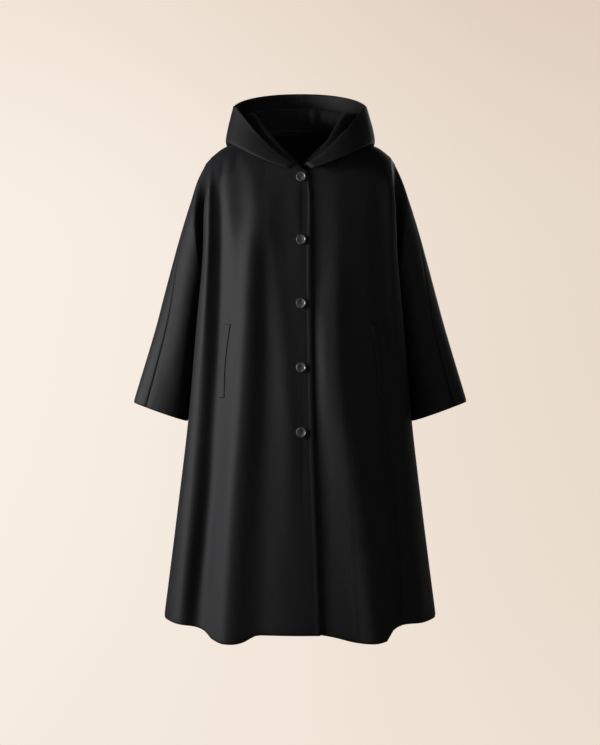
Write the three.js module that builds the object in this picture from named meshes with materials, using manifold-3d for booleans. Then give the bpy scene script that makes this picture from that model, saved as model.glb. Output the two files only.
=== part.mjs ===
// Hooded wool cloak with wide sleeves, filled out as it hangs on a general figure.
// Millimetres. +Z is up, the front faces -Y, and the wearer's right is at -X.
// The origin is at the base of the neck, a little below the inner ends of the shoulder seams.
import * as THREE from 'three';
import { mergeVertices } from 'three/addons/utils/BufferGeometryUtils.js';
import Module from 'manifold-3d';

const wall = 2.4; // thickness of the heavy wool cloth
const seamGap = 0.3; // space left between pieces that are sewn together

const neckHalf = 85; // half the distance between the inner ends of the shoulder seams
const neckRise = 16; // the inner ends of the shoulder seams above the origin
const shoulderSlope = 0.3; // fall of the shoulder seam for each millimetre outwards
const frontNeckDrop = 73; // the front neckline below the origin
const backNeckRise = 34; // the back neckline above the origin
const frontNeckReach = 1; // share of the full depth that the neckline reaches in front
const backNeckReach = 0.72; // and at the back
const shoulderTopHalf = 206; // where the top of the shoulder starts to round over
const shoulderEdgeHalf = 214; // and where the rounding is complete
const shoulderEdgeDrop = 38; // height of the shoulder there, below the origin
const shoulderRoundStart = 150; // where the rounding starts
const underarmDrop = 340; // the underarm points below the origin
const hemDrop = 1083; // the hem at the side seams below the origin
const hemDip = 21; // how much lower the hem hangs across the front and back
const hemFoldDip = 0.8; // how much lower it hangs for each millimetre that a fold stands out
const shoulderRound = 96; // height over which the shoulder turns down into front and back

const cornerRadius = 15; // the rounded top corner of the front edge
const armholeDepth = 54; // half the width of the armhole from front to back
const armClearance = 9; // how far the sides of the body keep from the sleeves
const hemNotch = 18; // how far the side seams lie inside the outline at the hem
const cuffDepth = 46; // half the width of the cuff from front to back
const sleeveTurn = 50; // degrees that the overarm seam swings to the front by the cuff

const buttonCount = 5;
const buttonRadius = 11;
const buttonHeight = 3.6;
const firstButtonDrop = 98;
const buttonSpacing = 142;

// How the body fills out at each height: half widths at the two side folds, depth of the middle of the
// front and back, depth of the side folds, and how far the front laps past the middle.
const bodyLevels = [
  { z: 60, right: 206, left: 202, front: 106, back: 92, fold: 60, backFold: 56, lap: 6 },
  { z: -51, right: 214, left: 210, front: 110, back: 102, fold: 72, backFold: 64, lap: 6 },
  { z: -133, right: 221, left: 213, front: 120, back: 112, fold: 84, backFold: 74, lap: 20 },
  { z: -273, right: 225, left: 218, front: 136, back: 121, fold: 88, backFold: 78, lap: 21 },
  { z: -436, right: 236, left: 232, front: 149, back: 134, fold: 82, backFold: 76, lap: 23 },
  { z: -645, right: 255, left: 251, front: 167, back: 156, fold: 64, backFold: 62, lap: 26 },
  { z: -878, right: 284, left: 280, front: 186, back: 180, fold: 46, backFold: 44, lap: 34 },
  { z: -1130, right: 317, left: 313, front: 208, back: 206, fold: 38, backFold: 36, lap: 42 },
];

// The largest folds. Each runs from its start height to its end height and keeps to a line between
// two places across the body. A rise above nothing is a ridge, and one below it is a trough. A higher
// round makes its top flatter and its sides steeper.
const folds = [
  { face: 'front', side: -1, start: -120, end: -1130, from: 150, to: 155, spread: 44, rise: 19, round: 3 },
  { face: 'front', side: -1, start: -230, end: -1130, from: 98, to: 96, spread: 24, rise: -10, round: 2 },
  { face: 'front', side: -1, start: -330, end: -980, from: 56, to: 38, spread: 24, rise: 7, round: 2 },
  { face: 'front', side: -1, start: -150, end: -1130, from: 192, to: 222, spread: 17, rise: -9, round: 2 },
  { face: 'front', side: 1, start: -300, end: -900, from: 60, to: 84, spread: 28, rise: 9, round: 2 },
  { face: 'front', side: 1, start: -520, end: -1130, from: 114, to: 146, spread: 50, rise: 19, round: 3 },
  { face: 'front', side: 1, start: -180, end: -800, from: 126, to: 160, spread: 30, rise: -11, round: 2 },
  { face: 'front', side: 1, start: -640, end: -1130, from: 196, to: 218, spread: 17, rise: -9, round: 2 },
  { face: 'back', side: -1, start: -190, end: -1130, from: 140, to: 176, spread: 36, rise: 15, round: 2 },
  { face: 'back', side: -1, start: -330, end: -1130, from: 84, to: 108, spread: 32, rise: -13, round: 2 },
  { face: 'back', side: 1, start: -240, end: -1130, from: 122, to: 150, spread: 40, rise: 17, round: 3 },
  { face: 'back', side: 1, start: -300, end: -1130, from: 66, to: 76, spread: 30, rise: -12, round: 2 },
  { face: 'back', side: -1, start: -420, end: -1130, from: 30, to: 36, spread: 28, rise: 9, round: 2 },
  { face: 'back', side: 1, start: -700, end: -1130, from: 214, to: 226, spread: 22, rise: -9, round: 2 },
];

// The top line of each sleeve, from the end of the shoulder seam to the cuff.
const overarm = {
  right: [
    { z: -51, out: 222 },
    { z: -86, out: 239 },
    { z: -133, out: 254 },
    { z: -226, out: 282 },
    { z: -352, out: 316 },
    { z: -436, out: 338 },
    { z: -604, out: 389 },
  ],
  left: [
    { z: -51, out: 218 },
    { z: -86, out: 234 },
    { z: -133, out: 250 },
    { z: -226, out: 278 },
    { z: -352, out: 312 },
    { z: -436, out: 335 },
    { z: -602, out: 385 },
  ],
};
const underarm = {
  right: { out: 208, cuffOut: 264, cuffZ: -647 },
  left: { out: 202, cuffOut: 257, cuffZ: -647 },
};

// The hood lies open round the neck. Going outwards from the neck seam, its cloth stands up to a soft
// inner fold, turns down into a pouch, and comes up again to the face edge.
const hoodRings = [
  { at: 0.12, right: 98, left: 93, front: 113, back: 78, zFront: -70, zSide: 36, zBack: 60, bend: 1 },
  { at: 0.24, right: 112, left: 98, front: 116, back: 92, zFront: -66, zSide: 62, zBack: 95, bend: 1 },
  { at: 0.29, right: 119, left: 104, front: 117, back: 100, zFront: -65, zSide: 67, zBack: 102, bend: 1 },
  { at: 0.34, right: 126, left: 112, front: 118, back: 108, zFront: -66, zSide: 60, zBack: 94, bend: 1 },
  { at: 0.46, right: 139, left: 130, front: 119, back: 124, zFront: -68, zSide: 32, zBack: 12, bend: 1.6 },
  { at: 0.58, right: 152, left: 149, front: 121, back: 137, zFront: -72, zSide: 8, zBack: -84, bend: 2.2 },
  { at: 0.64, right: 166, left: 163, front: 123, back: 150, zFront: -74, zSide: -1, zBack: -112, bend: 2.4 },
  { at: 0.7, right: 177, left: 173, front: 126, back: 168, zFront: -73, zSide: 3, zBack: -98, bend: 2.2 },
  { at: 0.82, right: 173, left: 169, front: 127, back: 180, zFront: -70, zSide: 27, zBack: -4, bend: 1.5 },
  { at: 0.92, right: 165, left: 160, front: 126, back: 172, zFront: -67, zSide: 58, zBack: 94, bend: 1 },
  { at: 1, right: 156, left: 151, front: 124, back: 156, zFront: -64, zSide: 86, zBack: 152, bend: 1 },
];

const welt = { topX: 162, topZ: -427, bottomX: 176, bottomZ: -591, width: 13, thickness: 2, bow: 4 };
const weltPlay = 0.6; // more room under a welt, which bridges the facets of its front
const tape = { firstColumn: 8, low: 0.003, high: 0.043, thickness: 1.2 }; // places on the hood

const woolColour = 0x1b1a1e;
const hornColour = 0x55524f;
const tapeColour = 0x232226;

const wasm = await Module();
wasm.setup();

const mix = (a, b, t) => a + (b - a) * t;
const clamp = (value, low, high) => Math.min(high, Math.max(low, value));
const ease = (t) => {
  const c = clamp(t, 0, 1);
  return c * c * (3 - 2 * c);
};
const radians = (degrees) => (degrees * Math.PI) / 180;

// Reads a named column of a table at a place along its key, on a smooth curve through the rows.
function readTable(table, key, column, at) {
  const rising = table[table.length - 1][key] > table[0][key];
  const rows = rising ? table : [...table].reverse();
  const last = rows.length - 2;
  let i = 0;
  while (i < last && at > rows[i + 1][key]) {
    i += 1;
  }
  const slopeAt = (n) => {
    const before = rows[Math.max(n - 1, 0)];
    const after = rows[Math.min(n + 1, rows.length - 1)];
    return (after[column] - before[column]) / (after[key] - before[key]);
  };
  const span = rows[i + 1][key] - rows[i][key];
  const t = clamp((at - rows[i][key]) / span, 0, 1);
  const startPart = (1 + 2 * t) * (1 - t) * (1 - t) * rows[i][column];
  const endPart = t * t * (3 - 2 * t) * rows[i + 1][column];
  const startSlope = t * (1 - t) * (1 - t) * span * slopeAt(i);
  const endSlope = t * t * (t - 1) * span * slopeAt(i + 1);
  return startPart + endPart + startSlope + endSlope;
}

const sideName = (side) => (side < 0 ? 'right' : 'left');

// How far the shoulder falls, as a share of its rounding, where it has reached a share of its depth.
const fallAt = (reach) => 1 - Math.sqrt(1 - reach * reach);

// Height of the shoulder line at a distance from the middle. Inside the neck it is only a guide that the
// neckline is cut from.
function shoulderHeight(face, x) {
  if (x < neckHalf) {
    const inFront = face === 'front';
    const middle = inFront ? -frontNeckDrop : backNeckRise;
    const guide = middle + shoulderRound * fallAt(inFront ? frontNeckReach : backNeckReach);
    return mix(guide, neckRise, (x / neckHalf) ** 2.2);
  }
  const straight = (out) => neckRise - shoulderSlope * (out - neckHalf);
  const rounding = straight(shoulderEdgeHalf) + shoulderEdgeDrop;
  const share = (x - shoulderRoundStart) / (shoulderEdgeHalf - shoulderRoundStart);
  return straight(x) - rounding * ease(share) ** 2.4;
}

// The armhole is an upright ring. Its top is the end of the shoulder seam.
function armholePoint(side, z) {
  const name = sideName(side);
  const top = overarm[name][0];
  const middle = (top.z - underarmDrop) / 2;
  const half = (top.z + underarmDrop) / 2;
  const up = clamp((z - middle) / half, -1, 1);
  const out = mix(underarm[name].out, top.out, (up + 1) / 2);
  return { x: out, depth: armholeDepth * Math.sqrt(1 - up * up) };
}

// The inner line of a sleeve at a height, from the underarm to the cuff.
function innerArmX(side, z) {
  const arm = underarm[sideName(side)];
  const t = clamp((-underarmDrop - z) / (-underarmDrop - arm.cuffZ), 0, 1);
  return mix(arm.out, arm.cuffOut, t);
}

// The side of the body keeps inside the sleeve, and opens out again between the cuff and the hem.
function pinchedX(side, z, half) {
  const clearance = armClearance * clamp((-underarmDrop - z) / 75, 0, 1);
  const { cuffZ } = underarm[sideName(side)];
  const open = ease((cuffZ - z) / (hemDrop + cuffZ));
  return mix(innerArmX(side, z) - clearance, half - hemNotch, open);
}

function foldRise(face, side, x, z) {
  let total = 0;
  for (const fold of folds) {
    if (fold.face !== face || fold.side !== side) {
      continue;
    }
    const t = clamp((fold.start - z) / (fold.start - fold.end), 0, 1);
    const place = mix(fold.from, fold.to, t);
    const strength = Math.sin((Math.PI / 2) * clamp(t * 2.2, 0, 1));
    const fade = fold.end > -hemDrop ? 1 - ease((t - 0.7) / 0.3) : 1;
    const away = (x - place) / fold.spread;
    total += fold.rise * strength * fade * Math.exp(-(Math.abs(away) ** fold.round));
  }
  return total;
}

// Columns across one quarter of the body: from the middle to the end of the neckline, on to the side
// fold, and then round it to the side seam. Values below zero lie on the front lap.
const shareAt = (x) => Math.asin(x / shoulderTopHalf) / (Math.PI / 2);
const neckShare = shareAt(neckHalf);
const neckSteps = 3;
const neckShares = [];
for (let i = 0; i <= neckSteps; i += 1) {
  neckShares.push(shareAt(neckHalf * Math.sin((Math.PI / 2) * (i / neckSteps))));
}
const quarterColumns = [...neckShares];
const frontSteps = 11;
for (let i = 1; i <= frontSteps; i += 1) {
  quarterColumns.push(mix(neckShare, 1, i / frontSteps));
}
for (let i = 1; i <= 3; i += 1) {
  quarterColumns.push(1 + i / 3);
}
const lapColumns = [-1, -0.5, ...quarterColumns];
const upperRows = 7;
const lowerRows = 10;
const bodyRows = upperRows + lowerRows;

function neckZ(face, x) {
  const full = face === 'front' ? frontNeckReach : backNeckReach;
  const reach = full * Math.sqrt(1 - clamp(x / neckHalf, 0, 1) ** 2);
  return shoulderHeight(face, Math.min(x, neckHalf - 1e-6)) - shoulderRound * fallAt(reach);
}

function topOfColumn(face, side, u) {
  const across = shoulderTopHalf * Math.sin((Math.PI / 2) * clamp(u, 0, 1));
  if (u <= neckShare + 1e-9) {
    return { x: across, z: neckZ(face, across) };
  }
  const end = overarm[sideName(side)][0];
  const x = u <= 1 ? across : mix(shoulderTopHalf, end.out, u - 1);
  return { x, z: u > 1.999 ? end.z : shoulderHeight(face, x) };
}

// One point in the middle of the cloth of the body. row runs from 0 at the neckline and the shoulder
// seam to bodyRows at the hem.
function bodyPoint(face, side, u, row) {
  const name = sideName(side);
  const toFront = face === 'front' ? -1 : 1;
  const top = topOfColumn(face, side, u);
  const level = (column, z) => readTable(bodyLevels, 'z', column, z);
  const foldColumn = face === 'front' ? 'fold' : 'backFold';

  const hemX = level(name, -hemDrop) * Math.sin((Math.PI / 2) * clamp(u, 0, 1));
  const dip = hemDip * ease((1.25 - u) / 0.7);
  const hemZ = -hemDrop - dip - hemFoldDip * Math.max(0, foldRise(face, side, hemX, -hemDrop));
  let z;
  if (row <= upperRows) {
    z = mix(top.z, -underarmDrop, (1 - Math.cos((Math.PI * row) / upperRows)) / 2);
  } else {
    z = mix(-underarmDrop, hemZ, (row - upperRows) / lowerRows);
  }

  const half = level(name, z);
  const depth = level(face, z);
  const fold = level(foldColumn, z);
  const arm = armholePoint(side, z);
  const above = z > -underarmDrop + 0.01;
  const belowArm = above ? 0 : clamp((-underarmDrop + 20 - z) / 60, 0, 1);
  const sideX = Math.min(half, above ? arm.x : pinchedX(side, z, half));
  const sideDepth = above ? arm.depth : 0;
  const rounding = clamp((shoulderHeight(face, top.x) - z) / shoulderRound, 0, 1);
  const over = Math.sqrt(1 - (1 - rounding) * (1 - rounding));

  let x;
  let y;
  if (u < 0) {
    x = level('lap', z) * u;
    y = (fold + (depth - fold) * Math.sqrt(1 - (x / half) ** 2)) * over;
  } else if (u <= 1) {
    const angle = (Math.PI / 2) * u;
    x = half * Math.sin(angle);
    y = (fold + (depth - fold) * Math.cos(angle)) * over;
  } else {
    const turn = u - 1;
    x = half - (half - sideX) * Math.min(1, 0.8 * (1 - Math.cos(Math.PI * turn)));
    y = mix(fold * over, sideDepth, turn ** mix(1, 1.9, belowArm));
  }
  const blend = ease((top.z - z) / 150);
  if (u >= 0 && z > -underarmDrop) {
    x = mix(top.x, x, u > 1.999 ? 1 : Math.max(blend, 0));
  }
  const calm = u < 0 ? 1 : clamp((2 - u) * 1.5, 0, 1);
  y += foldRise(face, u < 0 ? -side : side, Math.abs(x), z) * over * calm;
  return new THREE.Vector3(side * x, toFront * y, z);
}

// Which way a surface faces at a point of its grid, worked out from its neighbours.
function gridNormals(grid) {
  const rows = grid.length;
  const columns = grid[0].length;
  return grid.map((line, r) =>
    line.map((point, c) => {
      const down = grid[Math.min(r + 1, rows - 1)][c].clone().sub(grid[Math.max(r - 1, 0)][c]);
      const along = line[Math.min(c + 1, columns - 1)].clone().sub(line[Math.max(c - 1, 0)]);
      return down.cross(along).normalize();
    }),
  );
}

// Takes one component out of the normals of a row or column, so that the pieces on both sides of a seam
// end square to the same plane.
function flattenNormals(normals, cells, axis) {
  for (const [r, c] of cells) {
    normals[r][c][axis] = 0;
    normals[r][c].normalize();
  }
}

// Draws the points of an edge back by half the space of a seam.
function pullBack(grid, cells, inward) {
  for (const [r, c] of cells) {
    const [ir, ic] = inward(r, c);
    const step = grid[ir][ic].clone().sub(grid[r][c]);
    grid[r][c].add(step.normalize().multiplyScalar(seamGap / 2));
  }
}

function signedVolume(positions, indices) {
  let total = 0;
  const corner = (i) => new THREE.Vector3().fromArray(positions, 3 * i);
  for (let i = 0; i < indices.length; i += 3) {
    const cross = corner(indices[i]).cross(corner(indices[i + 1]));
    total += cross.dot(corner(indices[i + 2])) / 6;
  }
  return total;
}

// Gives a grid of points a thickness on both sides and closes it all round.
function clothGeometry(grid, normals, thickness = wall) {
  const rows = grid.length;
  const columns = grid[0].length;
  const positions = [];
  for (const half of [0.5, -0.5]) {
    for (let r = 0; r < rows; r += 1) {
      for (let c = 0; c < columns; c += 1) {
        const point = grid[r][c].clone().addScaledVector(normals[r][c], half * thickness);
        positions.push(point.x, point.y, point.z);
      }
    }
  }
  const outer = (r, c) => r * columns + c;
  const inner = (r, c) => rows * columns + outer(r, c);
  const indices = [];
  const addQuad = (a, b, c, d) => indices.push(a, b, c, a, c, d);
  for (let r = 0; r < rows - 1; r += 1) {
    for (let c = 0; c < columns - 1; c += 1) {
      addQuad(outer(r, c), outer(r + 1, c), outer(r + 1, c + 1), outer(r, c + 1));
      addQuad(inner(r, c), inner(r, c + 1), inner(r + 1, c + 1), inner(r + 1, c));
    }
  }
  for (let c = 0; c < columns - 1; c += 1) {
    addQuad(outer(0, c), outer(0, c + 1), inner(0, c + 1), inner(0, c));
    addQuad(outer(rows - 1, c + 1), outer(rows - 1, c), inner(rows - 1, c), inner(rows - 1, c + 1));
  }
  for (let r = 0; r < rows - 1; r += 1) {
    const last = columns - 1;
    addQuad(outer(r + 1, 0), outer(r, 0), inner(r, 0), inner(r + 1, 0));
    addQuad(outer(r, last), outer(r + 1, last), inner(r + 1, last), inner(r, last));
  }
  if (signedVolume(positions, indices) < 0) {
    for (let i = 0; i < indices.length; i += 3) {
      [indices[i + 1], indices[i + 2]] = [indices[i + 2], indices[i + 1]];
    }
  }
  const geometry = new THREE.BufferGeometry();
  geometry.setAttribute('position', new THREE.Float32BufferAttribute(positions, 3));
  geometry.setIndex(indices);
  geometry.computeVertexNormals();
  return geometry;
}

const column = (rows, c) => Array.from({ length: rows }, (unused, r) => [r, c]);
const rowFrom = (columns, r, first) =>
  Array.from({ length: columns - first }, (unused, i) => [r, first + i]);

const cloak = new THREE.Group();

function addPiece(name, geometry, colour, roughness) {
  const material = new THREE.MeshStandardMaterial({ color: colour, roughness, metalness: 0 });
  const mesh = new THREE.Mesh(geometry, material);
  mesh.name = name;
  cloak.add(mesh);
}

function mirrored(normals, side) {
  if (side < 0) {
    return normals;
  }
  return normals.map((line) => line.map((normal) => normal.negate()));
}

const panels = {};

// Finds the place on the facets of a body panel at a distance from the middle and a height.
function onPanel(name, x, z) {
  const { grid, normals } = panels[name];
  for (let r = 0; r < grid.length - 1; r += 1) {
    for (let c = 0; c < grid[0].length - 1; c += 1) {
      for (const cells of [[[r, c], [r + 1, c], [r + 1, c + 1]], [[r, c], [r + 1, c + 1], [r, c + 1]]]) {
        const [a, b, d] = cells.map(([i, j]) => grid[i][j]);
        const area = (b.x - a.x) * (d.z - a.z) - (d.x - a.x) * (b.z - a.z);
        const second = ((x - a.x) * (d.z - a.z) - (d.x - a.x) * (z - a.z)) / area;
        const third = ((b.x - a.x) * (z - a.z) - (x - a.x) * (b.z - a.z)) / area;
        const inside = second > -1e-9 && third > -1e-9 && second + third < 1 + 1e-9;
        if (!inside) {
          continue;
        }
        const point = new THREE.Vector3(x, a.y + second * (b.y - a.y) + third * (d.y - a.y), z);
        const normal = new THREE.Vector3();
        const shares = [1 - second - third, second, third];
        cells.forEach(([i, j], n) => normal.addScaledVector(normals[i][j], shares[n]));
        return { point, normal: normal.normalize() };
      }
    }
  }
  throw new Error(`no place on ${name} at ${x}, ${z}`);
}

// How far the under front is set back from the line of the upper one.
const underStep = wall + 2 * seamGap;
const underLooseness = 2.5; // and how much looser it hangs low down
const lapShadowDepth = 5; // depth of the hollow beside the lap

// Rounds the top corner of the front lap.
function roundTopCorner(grid, side) {
  const edge = grid[0][0];
  const next = grid[0][1];
  edge.z -= cornerRadius * 0.5;
  next.z -= cornerRadius * 0.12;
  edge.x += side * cornerRadius * 0.2;
}

// Lays the under front behind the upper one up to the middle, and eases it out beside the lap.
function tuckUnder(grid) {
  for (const line of grid) {
    for (const point of line) {
      if (point.x <= 0) {
        const looser = underLooseness * ease((-point.z - 500) / 300);
        point.y = onPanel('front_right', point.x, point.z).point.y + underStep + looser;
        continue;
      }
      const lap = readTable(bodyLevels, 'z', 'lap', point.z);
      const beside = 1 - ease((point.x - lap - 12) / 46);
      const nearLap = Math.exp(-(((point.x - lap - 14) / 20) ** 2));
      const shadow = lapShadowDepth * nearLap * ease((-point.z - 140) / 160);
      point.y += underStep * beside + shadow;
    }
  }
}

function makeBodyPanel(face, side) {
  const columns = face === 'front' ? lapColumns : quarterColumns;
  const grid = [];
  for (let row = 0; row <= bodyRows; row += 1) {
    grid.push(columns.map((u) => bodyPoint(face, side, u, row)));
  }
  if (face === 'front') {
    roundTopCorner(grid, side);
  }
  if (face === 'front' && side > 0) {
    tuckUnder(grid);
  }
  const turned = face === 'front' ? -side : side;
  const normals = mirrored(gridNormals(grid), turned);
  const count = columns.length;
  const shoulderStart = columns.findIndex((u) => u > neckShare - 1e-6);
  const shoulder = rowFrom(count, 0, shoulderStart);
  const sideSeam = column(bodyRows + 1, count - 1).filter(([r]) => r >= upperRows);
  flattenNormals(normals, shoulder, 'y');
  flattenNormals(normals, sideSeam, 'y');
  pullBack(grid, shoulder, (r, c) => [r + 1, c]);
  pullBack(grid, column(bodyRows + 1, count - 1), (r, c) => [r, c - 1]);
  if (face === 'back') {
    const middle = column(bodyRows + 1, 0);
    flattenNormals(normals, middle, 'x');
    pullBack(grid, middle, (r, c) => [r, c + 1]);
  }
  return { grid, normals };
}

for (const side of [-1, 1]) {
  for (const face of ['front', 'back']) {
    const name = `${face}_${sideName(side)}`;
    panels[name] = makeBodyPanel(face, side);
    addPiece(name, clothGeometry(panels[name].grid, panels[name].normals), woolColour, 0.9);
  }
}

// A sleeve half runs from the armhole to the cuff between the overarm seam and the underarm seam.
const sleeveRows = 9;

function sleevePoint(side, half, step, along) {
  const name = sideName(side);
  const topRows = overarm[name];
  const bottom = underarm[name];
  const topZ = mix(topRows[0].z, topRows[topRows.length - 1].z, along);
  const topX = readTable(topRows, 'z', 'out', topZ);
  const bottomZ = mix(-underarmDrop, bottom.cuffZ, along);
  const bottomX = mix(bottom.out + wall + 2 * seamGap, bottom.cuffOut, along);
  const turn = radians(sleeveTurn) * ease(along / 0.6);
  const phi = (Math.PI * step) / upperRows;
  const angle = half === 'front' ? phi + turn : -phi + turn;
  const depth = mix(armholeDepth, cuffDepth, ease(along)) + 5 * Math.sin(Math.PI * along);
  const x = mix(bottomX, topX, (1 + Math.cos(angle)) / 2) + 2 * seamGap * Math.sin(phi) * (1 - along);
  const z = mix(bottomZ, topZ, (1 + Math.cos(angle)) / 2);
  return new THREE.Vector3(side * x, -depth * Math.sin(angle), z);
}

function makeSleeveHalf(side, half) {
  const grid = [];
  for (let i = 0; i <= sleeveRows; i += 1) {
    const along = (i / sleeveRows) ** 1.15;
    const line = [];
    for (let step = 0; step <= upperRows; step += 1) {
      line.push(sleevePoint(side, half, step, along));
    }
    grid.push(line);
  }
  const turned = half === 'front' ? side : -side;
  const normals = mirrored(gridNormals(grid), turned);
  pullBack(grid, rowFrom(upperRows + 1, 0, 0), (r, c) => [r + 1, c]);
  pullBack(grid, column(sleeveRows + 1, 0), (r, c) => [r, c + 1]);
  pullBack(grid, column(sleeveRows + 1, upperRows), (r, c) => [r, c - 1]);
  return { grid, normals };
}

for (const side of [-1, 1]) {
  const halves = { front: makeSleeveHalf(side, 'front'), back: makeSleeveHalf(side, 'back') };
  for (const c of [0, upperRows]) {
    for (let r = 0; r <= sleeveRows; r += 1) {
      const shared = halves.front.normals[r][c].clone().add(halves.back.normals[r][c]).normalize();
      halves.front.normals[r][c].copy(shared);
      halves.back.normals[r][c].copy(shared);
    }
  }
  for (const half of ['front', 'back']) {
    const { grid, normals } = halves[half];
    addPiece(`sleeve_${sideName(side)}_${half}`, clothGeometry(grid, normals), woolColour, 0.9);
  }
}

// A place on the neckline, at an angle from the middle of the front round to the middle of the back:
// the point and which way the body's cloth faces there.
function neckRingPlace(side, angle) {
  const face = angle <= 90 ? 'front' : 'back';
  const { grid, normals } = panels[`${face}_${sideName(side)}`];
  const first = face === 'front' ? lapColumns.indexOf(0) : 0;
  const place = (neckSteps * (face === 'front' ? angle : 180 - angle)) / 90;
  const before = Math.min(Math.floor(place), neckSteps - 1);
  const c = first + before;
  const point = grid[0][c].clone().lerp(grid[0][c + 1], place - before);
  const normal = normals[0][c].clone().lerp(normals[0][c + 1], place - before).normalize();
  return { point, normal };
}

const hoodColumns = 12;
const hoodStart = 3.5; // degrees from the middle of the front to the corner of the hood

function hoodPoint(side, angle, at) {
  const rows = hoodRings;
  const sine = Math.sin(radians(angle));
  const cosine = Math.cos(radians(angle));
  const ringPoint = (row) => {
    const out = row[sideName(side)] * sine ** 0.9;
    const y = cosine > 0 ? -row.front * cosine ** 0.9 : row.back * (-cosine) ** 0.9;
    const toBack = Math.max(-cosine, 0) ** row.bend;
    const z = cosine > 0 ? mix(row.zFront, row.zSide, sine) : mix(row.zSide, row.zBack, toBack);
    return new THREE.Vector3(side * out, y, z);
  };
  if (at <= rows[0].at) {
    const { point, normal } = neckRingPlace(side, angle);
    const first = ringPoint(rows[0]);
    const rising = first.clone().sub(point).normalize();
    const lift = (wall / 2) * Math.max(normal.dot(rising), 0) + 2 * seamGap;
    point.addScaledVector(normal, lift).addScaledVector(rising, 3 * seamGap);
    return point.lerp(first, at / rows[0].at);
  }
  const index = rows.findIndex((row) => Math.abs(row.at - at) < 1e-9);
  return ringPoint(rows[index]);
}

function makeHoodHalf(side) {
  const stops = [0, 0.06, ...hoodRings.map((row) => row.at)];
  const grid = stops.map((at) => {
    const line = [];
    for (let i = 0; i <= hoodColumns; i += 1) {
      line.push(hoodPoint(side, Math.max((180 * i) / hoodColumns, hoodStart), at));
    }
    return line;
  });
  const normals = mirrored(gridNormals(grid), side);
  const middle = column(stops.length, hoodColumns);
  flattenNormals(normals, middle, 'x');
  pullBack(grid, middle, (r, c) => [r, c - 1]);
  return { grid, normals };
}

const hoods = {};
for (const side of [-1, 1]) {
  const half = makeHoodHalf(side);
  hoods[sideName(side)] = half;
  addPiece(`hood_${sideName(side)}`, clothGeometry(half.grid, half.normals), woolColour, 0.9);
}

function makeWelt(side) {
  const name = `front_${sideName(side)}`;
  const grid = [];
  const normals = [];
  const steps = 8;
  for (let i = 0; i <= steps; i += 1) {
    const t = i / steps;
    const middle = mix(welt.topX, welt.bottomX, t) + welt.bow * Math.sin(Math.PI * t);
    const z = mix(welt.topZ, welt.bottomZ, t);
    const across = [-1, -0.34, 0.34, 1].map((place) => side * (middle + (place * welt.width) / 2));
    const line = across.map((x) => onPanel(name, x, z));
    const lift = wall / 2 + seamGap + welt.thickness / 2 + weltPlay;
    grid.push(line.map(({ point, normal }) => point.clone().addScaledVector(normal, lift)));
    normals.push(line.map(({ normal }) => normal));
  }
  return clothGeometry(grid, normals, welt.thickness);
}

for (const side of [-1, 1]) {
  addPiece(`welt_${sideName(side)}`, makeWelt(side), woolColour, 0.88);
}

// The tape covers the back of the neck seam. It lies on the inner side of the hood's first stretch.
function makeTape() {
  const steps = hoodColumns - tape.firstColumn;
  const grid = [];
  const normals = [];
  for (const at of [tape.low, tape.high]) {
    const line = [];
    const facing = [];
    for (let i = -steps; i <= steps; i += 1) {
      const side = i <= 0 ? -1 : 1;
      const c = hoodColumns - Math.abs(i);
      const point = hoodPoint(side, (180 * c) / hoodColumns, at);
      const inward = hoods[sideName(side)].normals[0][c].clone();
      if (inward.x * point.x + inward.y * point.y > 0) {
        inward.negate();
      }
      line.push(point.addScaledVector(inward, wall / 2 + 3 * seamGap + tape.thickness / 2));
      facing.push(inward);
    }
    grid.push(line);
    normals.push(facing);
  }
  return clothGeometry(grid, normals, tape.thickness);
}

addPiece('neck_tape', makeTape(), tapeColour, 0.8);

// Turns a closed three.js geometry into a solid for cutting.
function solidOf(geometry) {
  const plain = geometry.clone();
  plain.deleteAttribute('normal');
  plain.deleteAttribute('uv');
  const merged = mergeVertices(plain, 1e-4);
  const mesh = new wasm.Mesh({
    numProp: 3,
    vertProperties: merged.attributes.position.array,
    triVerts: new Uint32Array(merged.index.array),
  });
  return new wasm.Manifold(mesh);
}

function geometryOf(solid) {
  const mesh = solid.getMesh();
  const geometry = new THREE.BufferGeometry();
  geometry.setAttribute('position', new THREE.Float32BufferAttribute(mesh.vertProperties, 3));
  geometry.setIndex(new THREE.Uint32BufferAttribute(mesh.triVerts, 1));
  geometry.computeVertexNormals();
  return geometry;
}

// A round button with a raised rim, a dished middle and four holes for the thread.
function makeButton() {
  const profile = [
    new THREE.Vector2(0, 0),
    new THREE.Vector2(buttonRadius * 0.86, 0),
    new THREE.Vector2(buttonRadius, buttonHeight * 0.4),
    new THREE.Vector2(buttonRadius * 0.92, buttonHeight),
    new THREE.Vector2(buttonRadius * 0.76, buttonHeight * 0.94),
    new THREE.Vector2(buttonRadius * 0.62, buttonHeight * 0.62),
    new THREE.Vector2(0, buttonHeight * 0.55),
  ];
  let body = solidOf(new THREE.LatheGeometry(profile, 16));
  const holeRadius = 0.95;
  const holeSpread = 2.2;
  for (let i = 0; i < 4; i += 1) {
    const turn = radians(45 + 90 * i);
    const hole = new THREE.CylinderGeometry(holeRadius, holeRadius, 3 * buttonHeight, 4);
    hole.translate(holeSpread * Math.cos(turn), 0, holeSpread * Math.sin(turn));
    body = body.subtract(solidOf(hole));
  }
  return geometryOf(body);
}

// The height above a place on the front at which a button clears the cloth all round its rim.
function buttonLift(point, normal) {
  let lift = 0;
  for (let i = 0; i < 12; i += 1) {
    const turn = radians(30 * i);
    const x = point.x + buttonRadius * 0.86 * Math.cos(turn);
    const under = onPanel('front_right', x, point.z + buttonRadius * 0.86 * Math.sin(turn)).point;
    lift = Math.max(lift, under.sub(point).dot(normal));
  }
  return lift + wall / 2 + seamGap;
}

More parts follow.
